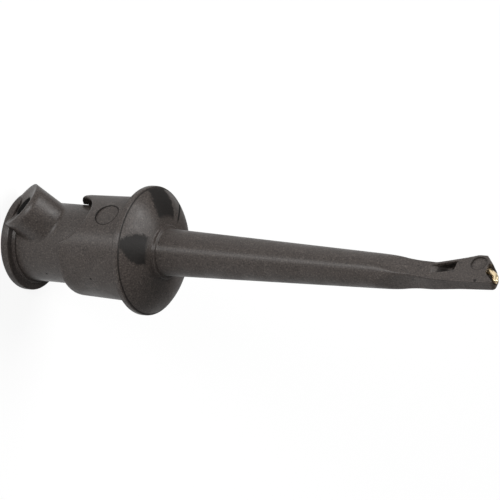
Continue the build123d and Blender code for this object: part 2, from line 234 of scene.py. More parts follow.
class CLIP_PG_nylon(bpy.types.PropertyGroup):
    """Look of the moulded nylon"""

    colour: colour_of("Colour", "Colour of the black nylon", 0.039, 0.032, 0.0285)
    pale: colour_of("Fibre colour", "Colour of the glass fibres at the skin", 0.082, 0.069, 0.061)
    pore: colour_of("Pore colour", "Colour of the small dark pores", 0.014, 0.012, 0.011)
    grain: length("Grain", "Size of the moulded grain", 0.13)
    relief: length("Relief", "Height of the moulded grain", 0.04)
    roughness: share_of("Roughness", "Middle roughness of the skin", 0.42)
    unevenness: share_of("Unevenness", "Range over which the roughness changes", 0.12)
    specular: share_of("Specular level", "Strength of the skin's reflection", 0.34)
    sheen: share_of("Drawn sheen", "How far a turned mould draws out the highlights", 0.9)


class CLIP_PG_metal(bpy.types.PropertyGroup):
    """Look of the metal pieces"""

    gold: colour_of("Gold", "Colour of the gold plating", 1.0, 0.81, 0.52)
    brass: colour_of("Brass", "Colour of the brass terminal", 0.72, 0.52, 0.24)
    steel: colour_of("Steel", "Colour of the spring wire", 0.56, 0.56, 0.57)
    relief: length("Relief", "Height of the drawn lines", 0.02)
    unevenness: share_of("Unevenness", "Range over which the roughness changes", 0.14)


class CLIP_PG_stage(bpy.types.PropertyGroup):
    """Camera, floor and lights"""

    camera: point("Camera", "Where the camera stands", -207.7, -164, 190)
    lens: number("Lens", "Focal length in millimetres of a 36 mm sensor", 216.0, 1.0)
    distance: length("Light distance", "Distance of the lights from the clip", 450)
    key: number("Key light", "Power of the light at the camera's side", 1.7)
    key_height: length("Key height", "Height of that light above the clip's middle", 110)
    key_size: point("Key size", "Width and height of that light", 100, 200)
    fill: number("Top light", "Power of the light above", 2.0)
    fill_size: point("Top size", "Width and height of the light above", 200, 300)
    world: number("World", "Strength of the surrounding light", 0.22)
    shadow: share_of("Shadow", "Share of the floor that is lit and shows the shadow", 0.1)
    floor: length("Floor", "Half the width of the floor", 3000)


GROUPS = {
    "clip_barrel": CLIP_PG_barrel,
    "clip_tip": CLIP_PG_tip,
    "clip_plunger": CLIP_PG_plunger,
    "clip_cap": CLIP_PG_cap,
    "clip_hook": CLIP_PG_hook,
    "clip_nylon": CLIP_PG_nylon,
    "clip_metal": CLIP_PG_metal,
    "clip_stage": CLIP_PG_stage,
}


def grid_faces(rows, columns, close_rows, close_columns):
    """Quads of a grid: each joins point (i, j) to (i+1, j), (i+1, j+1) and (i, j+1), wrapping where it
    closes."""
    i = np.arange(rows if close_rows else rows - 1)
    j = np.arange(columns if close_columns else columns - 1)
    a, b = np.meshgrid(i, j, indexing="ij")
    c = (a + 1) % rows
    d = (b + 1) % columns
    quads = [a * columns + b, c * columns + b, c * columns + d, a * columns + d]
    return np.stack(quads, axis=-1).reshape(-1, 4)


def upright(points):
    """Shapes are worked out lying down, with the clip along X and the boss at +Z. The clip stands on its
    thumb cap: point (x, y, z) goes to (-z, y, x)."""
    points = np.asarray(points, float)
    return np.stack([-points[..., 2], points[..., 1], points[..., 0]], axis=-1)


def shape(name, points, faces):
    """A mesh of a grid's points and quads, stood upright, with its poles merged and its faces outward."""
    mesh = bpy.data.meshes.new(name)
    mesh.from_pydata(upright(points).reshape(-1, 3).tolist(), [], faces.tolist())
    work = bmesh.new()
    work.from_mesh(mesh)
    bmesh.ops.remove_doubles(work, verts=work.verts, dist=SAME_POINT)
    bmesh.ops.recalc_face_normals(work, faces=work.faces)
    work.to_mesh(mesh)
    work.free()
    mesh.validate()
    return mesh


def place_piece(name, mesh, body, nodes, material):
    """Links the mesh as a piece that rides on a body and stands for CAD nodes."""
    piece = bpy.data.objects.new(name, mesh)
    bpy.context.scene.collection.objects.link(piece)
    mesh.materials.clear()
    mesh.materials.append(material)
    mesh.shade_smooth()
    mesh.set_sharp_from_angle(angle=SHARP_ANGLE)
    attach(piece, body)
    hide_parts(*nodes)


def rounded_outline(corners, radii, steps=6):
    """A closed outline with an arc at each corner: each arc runs about the point where the two edges, moved
    inward by the radius, cross, from one touching point to the other."""
    corners, radii = np.asarray(corners, float), np.asarray(radii, float)
    before = np.roll(corners, 1, axis=0) - corners
    after = np.roll(corners, -1, axis=0) - corners
    before /= np.linalg.norm(before, axis=1)[:, None]
    after /= np.linalg.norm(after, axis=1)[:, None]
    half = np.arccos(np.clip((before * after).sum(1), -1, 1)) / 2
    reach = radii / np.tan(half)
    start = corners + before * reach[:, None]
    stop = corners + after * reach[:, None]
    middle = (before + after) / np.linalg.norm(before + after, axis=1)[:, None]
    centre = corners + middle * (radii / np.sin(half))[:, None]
    share = np.linspace(0, 1, steps)[None, :, None]
    first = (start - centre)[:, None, :]
    last = (stop - centre)[:, None, :]
    span = np.pi - 2 * half[:, None, None]
    arc = (np.sin((1 - share) * span) * first + np.sin(share * span) * last) / np.sin(span)
    is_round = radii[:, None, None] > 0
    return np.where(is_round, centre[:, None, :] + arc, corners[:, None, :]).reshape(-1, 2)


def turned(outline, turns):
    """A closed outline of (x, r) turned about the X axis: point (x, r cos a, r sin a) for each angle a."""
    angle = np.linspace(0, 2 * np.pi, turns, endpoint=False)
    x = np.broadcast_to(outline[:, :1], (len(outline), turns))
    points = np.stack([x, outline[:, 1:] * np.cos(angle), outline[:, 1:] * np.sin(angle)], axis=-1)
    return points, grid_faces(len(outline), turns, True, True)


def run_along(line):
    """The distance along a line to each of its points."""
    return np.concatenate([[0], np.cumsum(np.linalg.norm(np.diff(line, axis=0), axis=1))])


def bent_line(corners, radii, spacing):
    """An open line in the XY plane with arcs at its inner corners, sampled evenly."""
    closed = rounded_outline(corners, radii, 24)
    step = np.linalg.norm(np.diff(closed, axis=0), axis=1)
    line = closed[np.concatenate([[True], step > spacing * 1e-3])]
    run = run_along(line)
    even = np.linspace(0, run[-1], int(run[-1] / spacing) + 2)
    return np.stack([np.interp(even, run, line[:, k]) for k in (0, 1)], axis=-1)


def material_nodes(name):
    """A new node material, its tree, its Principled shader and the piece's own coordinates."""
    material = bpy.data.materials.new(name)
    material.use_nodes = True
    tree = material.node_tree
    shader = tree.nodes["Principled BSDF"]
    place = tree.nodes.new("ShaderNodeTexCoord")
    return material, tree, shader, place.outputs["Object"]


def node(tree, kind, **settings):
    """One new node with its settings."""
    made = tree.nodes.new(kind)
    for key, value in settings.items():
        setattr(made, key, value)
    return made


def feed(tree, target, value):
    """Gives an input another socket's value or a fixed one."""
    if isinstance(value, bpy.types.NodeSocket):
        tree.links.new(value, target)
    else:
        target.default_value = value


def math_node(tree, operation, *values):
    """A Math node whose inputs are sockets or numbers. Returns its output."""
    made = node(tree, "ShaderNodeMath", operation=operation)
    for target, value in zip(made.inputs, values):
        feed(tree, target, value)
    return made.outputs[0]


def vector_node(tree, operation, output, *values):
    """A Vector Math node whose inputs are sockets or vectors. Returns the named output."""
    made = node(tree, "ShaderNodeVectorMath", operation=operation)
    for target, value in zip(made.inputs, values):
        feed(tree, target, value)
    return made.outputs[output]


def product(tree, first, second):
    """The product of two sockets or numbers."""
    return math_node(tree, "MULTIPLY", first, second)


def group_tree(name, inputs, outputs):
    """An empty shader group with float or vector sockets, and its input and output nodes."""
    tree = bpy.data.node_groups.new(name, "ShaderNodeTree")
    for label, kind, default in inputs:
        socket = tree.interface.new_socket(label, in_out="INPUT", socket_type=kind)
        if default is not None:
            socket.default_value = default
    for label, kind in outputs:
        tree.interface.new_socket(label, in_out="OUTPUT", socket_type=kind)
    return tree, tree.nodes.new("NodeGroupInput"), tree.nodes.new("NodeGroupOutput")


def noise(tree, vector, scale, detail, rough):
    """A noise texture's value, at a number of cells per metre that may be a socket."""
    made = node(tree, "ShaderNodeTexNoise")
    tree.links.new(vector, made.inputs["Vector"])
    feed(tree, made.inputs["Scale"], scale)
    made.inputs["Detail"].default_value = detail
    made.inputs["Roughness"].default_value = rough
    return made.outputs["Fac"]


def span_mask(tree, value, low, high):
    """0 below low, 1 above high, and a soft step between them."""
    made = node(tree, "ShaderNodeMapRange", interpolation_type="SMOOTHSTEP")
    tree.links.new(value, made.inputs["Value"])
    made.inputs["From Min"].default_value = low
    made.inputs["From Max"].default_value = high
    return made.outputs["Result"]


def moulded_grain_group():
    """Fine moulded grain: a height for the skin and masks of pale fibres, dark pores and cloudy wear."""
    tree, given, out = group_tree(
        "Moulded grain",
        [("Vector", "NodeSocketVector", None), ("Cells", "NodeSocketFloat", 6000.0)],
        [
            ("Height", "NodeSocketFloat"),
            ("Fibres", "NodeSocketFloat"),
            ("Pores", "NodeSocketFloat"),
            ("Clouds", "NodeSocketFloat"),
        ],
    )
    vector = given.outputs["Vector"]
    cells = given.outputs["Cells"]
    fine = noise(tree, vector, cells, 3.0, 0.6)
    coarse = noise(tree, vector, product(tree, cells, 0.4), 3.0, 0.5)
    height = math_node(tree, "ADD", product(tree, fine, 0.6), product(tree, coarse, 0.4))
    tree.links.new(height, out.inputs["Height"])
    speck = noise(tree, vector, product(tree, cells, 0.8), 2.0, 0.7)
    tree.links.new(span_mask(tree, speck, 0.5, 0.75), out.inputs["Fibres"])
    tree.links.new(span_mask(tree, speck, 0.48, 0.28), out.inputs["Pores"])
    clouds = noise(tree, vector, product(tree, cells, 0.06), 3.0, 0.6)
    tree.links.new(span_mask(tree, clouds, 0.3, 0.7), out.inputs["Clouds"])
    return tree


def blended(tree, factor, first, second):
    """A colour between two others, each a colour or a socket."""
    mix = node(tree, "ShaderNodeMix", data_type="RGBA")
    tree.links.new(factor, mix.inputs["Factor"])
    for label, colour in (("A", first), ("B", second)):
        target = next(i for i in mix.inputs if i.name == label and i.type == "RGBA")
        feed(tree, target, colour if isinstance(colour, bpy.types.NodeSocket) else (*colour, 1))
    return next(o for o in mix.outputs if o.type == "RGBA")


def add_relief(tree, shader, height, strength, distance):
    """Bump from a height between 0 and 1."""
    bump = node(tree, "ShaderNodeBump")
    bump.inputs["Strength"].default_value = strength
    bump.inputs["Distance"].default_value = distance
    tree.links.new(height, bump.inputs["Height"])
    tree.links.new(bump.outputs["Normal"], shader.inputs["Normal"])


def nylon_material(name, settings, turned_mould):
    """Black glass-filled nylon with a moulded skin, whose grain all such materials share. A turned mould
    leaves fine lines round the piece, which draw its highlights out along the clip. Returns what
    material_nodes does."""
    material, tree, shader, place = material_nodes(name)
    grain = bpy.data.node_groups.get("Moulded grain") or moulded_grain_group()
    skin = node(tree, "ShaderNodeGroup", node_tree=grain)
    tree.links.new(place, skin.inputs["Vector"])
    skin.inputs["Cells"].default_value = 1 / settings.grain
    colour = blended(tree, skin.outputs["Fibres"], settings.colour, settings.pale)
    colour = blended(tree, skin.outputs["Pores"], colour, settings.pore)
    tree.links.new(colour, shader.inputs["Base Color"])
    least = settings.roughness - settings.unevenness / 2
    rough = math_node(tree, "MULTIPLY_ADD", skin.outputs["Clouds"], settings.unevenness, least)
    tree.links.new(rough, shader.inputs["Roughness"])
    add_relief(tree, shader, skin.outputs["Height"], 0.5, settings.relief)
    shader.inputs["Specular IOR Level"].default_value = settings.specular
    if turned_mould:
        tangent = node(tree, "ShaderNodeTangent", direction_type="RADIAL", axis="Z")
        tree.links.new(tangent.outputs["Tangent"], shader.inputs["Tangent"])
        shader.inputs["Anisotropic"].default_value = settings.sheen
        shader.inputs["Anisotropic Rotation"].default_value = 0.25
    return material, tree, shader, place


def metal_material(name, settings, colour, roughness, streak):
    """Plated or drawn metal with fine lines, stretched by the streak's scales, and a slightly uneven
    colour."""
    material, tree, shader, place = material_nodes(name)
    stretch = node(tree, "ShaderNodeMapping")
    tree.links.new(place, stretch.inputs["Vector"])
    stretch.inputs["Scale"].default_value = streak
    lines = noise(tree, stretch.outputs["Vector"], 9000.0, 3.0, 0.6)
    tint = blended(tree, lines, [c * 0.82 for c in colour], colour)
    tree.links.new(tint, shader.inputs["Base Color"])
    shader.inputs["Metallic"].default_value = 1.0
    rough = math_node(tree, "MULTIPLY_ADD", lines, settings.unevenness, roughness)
    tree.links.new(rough, shader.inputs["Roughness"])
    add_relief(tree, shader, lines, 0.2, settings.relief)
    return material


def band(tree, value, low, high, soft):
    """1 between low and high, 0 outside, with soft edges."""
    rise = span_mask(tree, value, low - soft, low + soft)
    fall = span_mask(tree, value, high + soft, high - soft)
    return product(tree, rise, fall)


def fan(tree, angle, inward, edges, soft):
    """1 between two edges whose angles change evenly from the rim, where inward is 0, to the collar, where it
    is 1."""
    first, last = (math_node(tree, "MULTIPLY_ADD", inward, b - a, a) for a, b in edges)
    rise = span_mask(tree, math_node(tree, "SUBTRACT", angle, first), -soft, soft)
    fall = span_mask(tree, math_node(tree, "SUBTRACT", last, angle), -soft, soft)
    return product(tree, rise, fall)


def from_line(tree, place, point_on, along):
    """Distance from a line: the length of (place - point) x direction."""
    offset = vector_node(tree, "SUBTRACT", "Vector", place, point_on)
    cross = vector_node(tree, "CROSS_PRODUCT", "Vector", offset, along)
    return vector_node(tree, "LENGTH", "Value", cross)


def sunk(tree, x, skin, floor):
    """1 on the boss's half where the surface is nearer to the middle plane than the floor, 0 outside the
    skin and on the other half."""
    depth = product(tree, x, -1.0)
    return product(tree, span_mask(tree, depth, skin, floor), span_mask(tree, depth, -0.1 * MM, 0.1 * MM))


def shade_ring_edge(tree, place, x, centre, radius):
    """Painted shade at the edge of a round mark sunk from the boss's side: a thin line at one distance from
    its axis.
    """
    side = span_mask(tree, x, 0, -0.3 * MM)
    away = from_line(tree, place, centre, (1, 0, 0))
    return product(tree, side, band(tree, away, radius - 0.03 * MM, radius + 0.09 * MM, LINE_EDGE))


def spot(tree, place, centre, radius):
    """A small round mark about a point."""
    away = vector_node(tree, "DISTANCE", "Value", place, centre)
    return span_mask(tree, away, radius * 1.3, radius * 0.7)


def darken(tree, shader, dark):
    """Dulls and darkens the skin where the mask is 1. The masks are mostly painted shade and painted dark
    reflection; the dome's seam and the pin mark are real marks.
    """
    under = shader.inputs["Base Color"].links[0].from_socket
    tree.links.new(blended(tree, dark, under, SHADE_AND_MARK_DARK), shader.inputs["Base Color"])
    rough = shader.inputs["Roughness"].links[0].from_socket
    tree.links.new(math_node(tree, "MULTIPLY_ADD", dark, 0.4, rough), shader.inputs["Roughness"])


def shade_plunger(tree, shader, place, s):
    """The plunger's own painted shade: the darkened bore of the wire boss and one darkened pit in the sleeve.
    """
    along = (-math.sin(s.lean), 0, -math.cos(s.lean))
    # Painted shade: the inside of the wire boss's bore and a small pit are darkened.
    bore = span_mask(tree, from_line(tree, place, (0, 0, s.boss), along), s.bore_edge, s.bore)
    pit = spot(tree, place, s.pit, PIT)
    darken(tree, shader, math_node(tree, "MAXIMUM", bore, pit))


def shade_barrel(tree, shader, place, s, t):
    """The barrel's own marks and its painted light: fan-shaped patches of painted dark reflection on the
    dome, also made rougher, lines of painted shade beside the flange's rim, the seam on the dome, painted
    shade on the slot's inner walls and at the edges of the two round marks, painted shade in the window and
    in a pit, and a pin mark. A fan narrows or turns on its way in, so its edges' angles change with the
    height."""
    parts = node(tree, "ShaderNodeSeparateXYZ")
    tree.links.new(place, parts.inputs["Vector"])
    x, y, z = (parts.outputs[label] for label in "XYZ")
    angle = math_node(tree, "ARCTAN2", product(tree, x, -1.0), y)
    end = s.flange_start + s.flange_thickness
    foot = end + s.dome_length
    inward = span_mask(tree, z, end, foot)
    dome = band(tree, z, end + 0.08 * MM, foot - 0.05 * MM, 0.06 * MM)
    ragged = noise(tree, place, 2600.0, 3.0, 0.6)
    around = math_node(tree, "ADD", math_node(tree, "MULTIPLY_ADD", ragged, 0.2, -0.1), angle)
    # Painted reflection: two fan-shaped patches of the dome are darkened where the dome would reflect dark
    # surroundings; they are also made rougher.
    upper = fan(tree, around, inward, UPPER_DARK_REFLECTION_FAN, 0.05)
    lower = fan(tree, around, inward, LOWER_DARK_REFLECTION_FAN, 0.05)
    painted_reflection_fans = product(tree, math_node(tree, "MAXIMUM", upper, lower), dome)
    # Painted shade: a dark line in the step where the rim meets the dome (front) and one in the shadowed gap
    # at the rim's rear edge (rear).
    front = band(tree, z, end - 0.02 * MM, end + 0.09 * MM, LINE_EDGE)
    rear = band(tree, z, s.flange_start - 0.1 * MM, s.flange_start + 0.12 * MM, 0.05 * MM)
    seam = product(tree, fan(tree, angle, inward, DOME_SEAM, 0.012), dome)
    # Painted shade: on the skirt, the surfaces nearer the axis than its skin, the slot's inner walls, are
    # darkened.
    skirt = band(tree, z, s.skirt_start, s.flange_start - 0.2 * MM, 0.1 * MM)
    off_axis = from_line(tree, place, (0, 0, 0), (0, 0, 1))
    # Painted shade: the deep part of the window's pocket, under its upper wall, is darkened.
    window = band(tree, z, t.window_rear[0] - 0.1 * MM, t.window_front[0] + 0.15 * MM, 0.05 * MM)
    window = product(tree, window, sunk(tree, x, 0.66 * MM, 0.46 * MM))
    window = product(tree, window, span_mask(tree, y, -0.6 * MM, -0.45 * MM))
    # Painted shade and painted dark reflection, with the seam and the pin mark, each with how far it darkens.
    marks = (
        (painted_reflection_fans, 0.9),
        (math_node(tree, "MAXIMUM", front, rear), 0.85),
        (seam, 1),
        (product(tree, skirt, span_mask(tree, off_axis, 5.25 * MM, 4.9 * MM)), 0.8),
        # Painted shade: dark thin lines at the walls of the two sunk round marks.
        (shade_ring_edge(tree, place, x, (0, 0, s.mark[0]), s.mark[1]), 0.8),
        (shade_ring_edge(tree, place, x, (0, t.pad[1], t.pad[0]), t.pad[2]), 0.55),
        (window, 0.75),
        # Painted shade in a small pit in the skirt.
        (spot(tree, place, s.pit, PIT), 1),
        (spot(tree, place, t.pin, 0.16 * MM), 0.9),
    )
    dark = 0.0
    for mask, depth in marks:
        dark = math_node(tree, "MAXIMUM", dark, product(tree, mask, depth))
    darken(tree, shader, dark)


def merged_copy(name):
    """A copy of a CAD node's mesh with its loose triangles merged."""
    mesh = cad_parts[name].data.copy()
    mesh.materials.clear()
    work = bmesh.new()
    work.from_mesh(mesh)
    bmesh.ops.remove_doubles(work, verts=work.verts, dist=0.001 * MM)
    work.to_mesh(mesh)
    work.free()
    return mesh


def three_point_arc(first, middle, last, steps):
    """Points on the circle through three points: its centre is where the two chords' bisectors cross."""
    first, middle, last = (np.asarray(p, float) for p in (first, middle, last))
    rows = np.array([middle - first, last - middle])
    sides = np.array([(middle @ middle - first @ first) / 2, (last @ last - middle @ middle) / 2])
    centre = np.linalg.solve(rows, sides)
    ends = [np.arctan2(*(p - centre)[::-1]) for p in (first, last)]
    angle = np.linspace(ends[0], ends[1], steps)
    radius = np.linalg.norm(first - centre)
    return centre + radius * np.stack([np.cos(angle), np.sin(angle)], axis=-1)


def spaced(points, gap):
    """The same open line with more points: each run longer than the gap is divided evenly."""
    points = np.asarray(points, float)
    counts = [max(2, int(np.hypot(*run) / gap) + 2) for run in np.diff(points, axis=0)]
    parts = [np.linspace(a, b, count)[:-1] for a, b, count in zip(points, points[1:], counts)]
    return np.concatenate([*parts, points[-1:]])


def stem_start(s):
    """Where the stem's cone begins, in front of flange, dome and collar."""
    return s.flange_start + s.flange_thickness + s.dome_length + s.collar_length


def stem_radius(s, x):
    """Radius of the stem's cone at a place x: it changes evenly from the root's to the tip's."""
    share = (x - stem_start(s)) / (s.stem_end - stem_start(s))
    return s.stem_root + (s.stem_tip - s.stem_root) * share


def skirt_profile(s):
    """The barrel's outer line of (x, r) from the skirt's rear edge to the end of the stem's cone. Its dome is
    a circle's arc through three points, and its corners have the rounds of the moulding."""
    flange_end = s.flange_start + s.flange_thickness
    rim = (flange_end, s.flange_radius - s.rim_step)
    middle = (flange_end + s.dome_middle[0], s.dome_middle[1])
    foot = (flange_end + s.dome_length, s.collar_radius)
    dome = three_point_arc(rim, middle, foot, 26)
    stem = stem_start(s)
    corners = [
        (s.skirt_start, s.bore),
        (s.skirt_start, s.skirt_radius),
        (s.flange_start, s.skirt_front_radius),
        (s.flange_start, s.flange_radius),
        (flange_end, s.flange_radius),
        *dome[:-1],
        foot,
        (stem, s.collar_radius),
        (stem, s.stem_root),
        (s.stem_end, s.stem_tip),
    ]
    soft = s.rim_step * 0.8
    on_dome = [0] * (len(dome) - 1)
    radii = [0, s.shoulder, soft, s.flange_round, s.flange_round, *on_dome, soft, soft, soft, 0]
    return rounded_outline(corners, radii, 7)


def soft_minimum(limits, power):
    """The smallest of several limits, blended where they cross: (sum of limit**-power) ** (-1 / power)."""
    smallest = np.minimum.reduce(limits)
    total = sum((smallest / limit) ** power for limit in limits)
    return smallest * total ** (-1 / power)


def tip_radius(x, angle, barrel, s):
    """Distance of the tip's skin from the axis at a place x and an angle from the beak's side: the soft
    minimum of the stem's cone, the beak's height over the cosine, the belly's depth over the cosine on the
    other side, and the blade's half thickness over the sine. Past its end the cone widens steeply, so that
    it limits nothing more."""
    steps = 9
    beak = [
        ((s.start, s.root), 0),
        (s.scoop, 10 * MM),
        (s.waist, 1.2 * MM),
        (s.beak_rear, 0.8 * MM),
        (s.beak_front, 0.12 * MM),
        (s.cheek, 0.6 * MM),
        ((s.end, s.nose), 0.6 * MM),
    ]
    belly = [
        ((s.end, s.chin), 0.32 * MM),
        (s.belly, 6 * MM),
        ((s.scoop[0], -s.scoop[1]), 10 * MM),
        ((s.start, -s.root), 0),
    ]
    side = [
        ((s.start, s.root), 0),
        ((s.scoop[0], s.blade[0]), 8 * MM),
        ((s.waist[0], s.blade[1]), 8 * MM),
        ((s.beak_root, s.blade[2]), 8 * MM),
        ((s.end, s.blade_end), 0),
        ((s.end, 0), 0),
    ]
    loop = rounded_outline(*zip(*beak, *belly), steps)
    upper, lower = loop[: len(beak) * steps], loop[len(beak) * steps :][::-1]
    edge = rounded_outline(*zip(*side), steps)[: (len(side) - 1) * steps]
    top, low, half = (np.interp(x, line[:, 0], line[:, 1])[:, None] for line in (upper, lower, edge))
    cone = stem_radius(barrel, x) + 3 * np.clip(x - barrel.stem_end, 0, None)
    cosine = np.cos(angle)[None, :]
    sine = np.abs(np.sin(angle))[None, :]
    least = 1e-4
    limits = [
        np.broadcast_to(cone[:, None], (len(x), len(angle))),
        np.minimum(top / np.clip(cosine, least, None), FAR),
        np.minimum(-low / np.clip(-cosine, least, None), FAR),
        np.minimum(half / np.clip(sine, least, None), FAR),
    ]
    return soft_minimum(limits, s.softness)


def barrel_surface(barrel, tip, turns=224):
    """One closed grid of rows along the clip and columns round it: point (x, r cos a, r sin a). The rows run
    from the passage's inner end back through both bores, over the skirt, flange, dome and stem, and along
    the tip to its front, where the radius also depends on the angle a."""
    angle = np.linspace(0, 2 * np.pi, turns, endpoint=False)
    deep = tip.mouth[0] + 0.3 * MM  # inside the mouth, which is cut later
    bores = spaced(
        [
            (deep, 0),
            (deep, barrel.passage),
            (barrel.stem_bore_end, barrel.passage),
            (barrel.stem_bore_end, barrel.stem_bore),
            (barrel.floor, barrel.stem_bore),
            (barrel.floor, barrel.bore),
        ],
        3 * MM,
    )
    last = tip.start - 0.1 * MM
    outside = skirt_profile(barrel)
    outside = spaced([*outside[outside[:, 0] < last], (last, stem_radius(barrel, last))], 0.5 * MM)
    close = 0.5 * MM
    evenly = np.linspace(tip.start, tip.end - close, 170)[:-1]
    closing = tip.end - close * (1 - np.sin(np.linspace(0, QUARTER, 16)))
    x = np.concatenate([evenly, closing])
    radius = tip_radius(x, angle, barrel, tip)
    rows = np.concatenate([bores, outside])
    x_all = np.concatenate([rows[:, 0], x, [tip.end]])
    r_all = np.concatenate([np.repeat(rows[:, 1:], turns, axis=1), radius, np.zeros((1, turns))])
    x_grid = np.broadcast_to(x_all[:, None], r_all.shape)
    points = np.stack([x_grid, r_all * np.cos(angle), r_all * np.sin(angle)], axis=-1)
    return points, grid_faces(len(x_all), turns, False, True)


def at_height(outline, z):
    """The points of a flat outline at one height or at a column of heights."""
    return np.concatenate([outline, np.broadcast_to(z, (len(outline), 1))], axis=1)


def prism(outline, low, high):
    """A closed outline carried straight from one height to another, with each end closed from its middle."""
    rims = [at_height(outline, z) for z in (low, high)]
    ends = [np.broadcast_to(rim.mean(axis=0), rim.shape) for rim in rims]
    points = np.stack([ends[0], *rims, ends[1]])
    return points, grid_faces(4, len(outline), False, True)


def window_cutter(t):
    """The core's pocket: its outline carried outward from a floor that falls evenly towards the front."""
    (rear, rear_low, rear_top), (front, front_low, front_top) = t.window_rear, t.window_front
    outline = np.array([(rear, rear_low), (front, front_low), (front, front_top), (rear, rear_top)])
    floor = t.window_floor - (outline[:, :1] - rear) * math.tan(t.window_ramp)
    return prism(outline, floor, BEYOND)


def slot_cutter(s):
    """The boss slot as a solid with a flared mouth: a round-ended outline whose wall rises straight and then
    turns outward by round * (1 - cos a) while it climbs the last round * sin a up to the skirt's skin."""
    middle = s.slot_front - s.slot_half
    back = s.skirt_start - 2 * MM
    turn = np.linspace(-QUARTER, QUARTER, 49)
    arc = np.stack([middle + s.slot_half * np.cos(turn), s.slot_half * np.sin(turn)], axis=-1)
    side = spaced([(back, -s.slot_half), arc[0]], 0.1 * MM)[:-1]
    outline = np.concatenate([side, arc, (side * [1, -1])[::-1]])
    aside = np.tile([0.0, 1.0], (len(side), 1))
    normal = np.concatenate([-aside, (arc - [middle, 0]) / s.slot_half, aside])
    profile = skirt_profile(s)
    skirt = profile[(profile[:, 0] < s.flange_start) & (profile[:, 1] > s.bore * 1.001)]
    inside = 0.5 * MM
    rows = [at_height(outline, inside)]
    for a in np.linspace(0, QUARTER, 9):
        lip = outline + normal * s.slot_round * (1 - np.cos(a))
        radius = np.interp(lip[:, 0], skirt[:, 0], skirt[:, 1])
        skin = np.sqrt(np.clip(radius**2 - lip[:, 1] ** 2, 0, None))
        rows.append(at_height(lip, (skin - s.slot_round * (1 - np.sin(a)))[:, None]))
    # Just past the flare, and then straight out.
    wide = outline + normal * (s.slot_round + 0.03 * MM)
    rows.append(at_height(wide, rows[-1][:, 2:] + 0.04 * MM))
    rows.append(at_height(wide, BEYOND))
    centre = outline[:, 0].mean()
    ends = [np.broadcast_to([centre, 0, z], rows[0].shape) for z in (inside, BEYOND)]
    points = np.stack([ends[0], *rows, ends[1]])
    return points, grid_faces(len(points), len(outline), False, True)


def circle(x, y, radius, steps=72):
    """Points of a circle in the XY plane."""
    angle = np.linspace(0, 2 * np.pi, steps, endpoint=False)
    return np.stack([x + radius * np.cos(angle), y + radius * np.sin(angle)], axis=-1)


def wire(line, radius, around=32, cap_steps=6):
    """A round wire: at each point of the line a circle in the plane across it, of the wire's radius, which
    shrinks as a rounded edge at both ends."""
    ahead = np.gradient(line, axis=0)
    ahead /= np.linalg.norm(ahead, axis=1)[:, None]
    side = np.stack([-ahead[:, 1], ahead[:, 0]], axis=1)
    edge = radius * 0.35
    turn = np.linspace(0, QUARTER, cap_steps)
    run = run_along(line)
    inner = (run > edge) & (run < run[-1] - edge)
    start_at = np.concatenate([[0], edge - edge * np.cos(turn)])
    start_size = np.concatenate([[0], radius - (edge - edge * np.sin(turn))])
    where = np.concatenate([start_at, run[inner], (run[-1] - start_at)[::-1]])
    size = np.concatenate([start_size, np.full(inner.sum(), radius), start_size[::-1]])
    at, across = (np.stack([np.interp(where, run, v[:, k]) for k in (0, 1)], axis=1) for v in (line, side))
    across /= np.linalg.norm(across, axis=1)[:, None]
    angle = np.linspace(0, 2 * np.pi, around, endpoint=False)
    flat = at[:, None, :] + across[:, None, :] * (size[:, None] * np.cos(angle))[:, :, None]
    depth = size[:, None] * np.sin(angle)
    points = np.concatenate([flat, depth[:, :, None]], axis=2)
    return points, grid_faces(len(where), around, False, True)


def carve(mesh, cutters):
    """The mesh less each cutter, by exact Boolean differences."""
    scene = bpy.context.scene
    body = bpy.data.objects.new("carving", mesh)
    scene.collection.objects.link(body)
    tools = []
    for index, (points, faces) in enumerate(cutters):
        tool = bpy.data.objects.new("cutter", shape("cutter" + str(index), points, faces))
        scene.collection.objects.link(tool)
        step = body.modifiers.new("cut", "BOOLEAN")
        step.operation = "DIFFERENCE"
        step.solver = "EXACT"
        step.object = tool
        tools.append(tool)
    bpy.context.view_layer.update()
    ready = body.evaluated_get(bpy.context.evaluated_depsgraph_get())
    carved = bpy.data.meshes.new_from_object(ready)
    for made in (*tools, body):
        bpy.data.objects.remove(made)
    return carved


class CLIP_OT_barrel(bpy.types.Operator):
    """Build the barrel with its skirt, flange, dome, stem and tip"""

    bl_idname = "clip.barrel"
    bl_label = "Barrel"

    def execute(self, context):
        s = context.scene.clip_barrel
        t = context.scene.clip_tip
        skin = shape("barrel_skin", *barrel_surface(s, t))
        front = t.end + 1 * MM
        mark_at, mark_radius, mark_depth = s.mark
        share = (mark_at - s.skirt_start) / (s.flange_start - s.skirt_start)
        crest = s.skirt_radius + (s.skirt_front_radius - s.skirt_radius) * share
        notch_back, notch_top, notch_low = t.notch
        roof = notch_top + (t.end - notch_back) * math.tan(t.notch_rise)
        notch = [
            (notch_back, notch_low),
            (t.end, t.notch_out),
            (front, t.notch_out),
            (front, roof),
            (notch_back, notch_top),
        ]
        mouth_back, mouth_top = t.mouth
        mouth = [(mouth_back, -s.passage), (front, -s.passage), (front, mouth_top), (mouth_back, mouth_top)]
        pad_at, pad_height, pad_radius = t.pad
        cutters = [
            slot_cutter(s),
            prism(circle(mark_at, 0, mark_radius), crest - mark_depth, BEYOND),
            prism(mouth, -s.passage, s.passage),
            prism(notch, -s.passage, BEYOND),
            prism(circle(pad_at, pad_height, pad_radius), t.pad_floor, BEYOND),
            window_cutter(t),
        ]
        mesh = carve(skin, cutters)
        if len(mesh.polygons) < len(skin.polygons) / 2:
            raise RuntimeError("the barrel lost its faces when its openings were cut")
        material, *nodes = nylon_material("barrel_nylon", context.scene.clip_nylon, True)
        shade_barrel(*nodes, s, t)
        place_piece("barrel_skin", mesh, "barrel", ["barrel"], material)
        return {"FINISHED"}


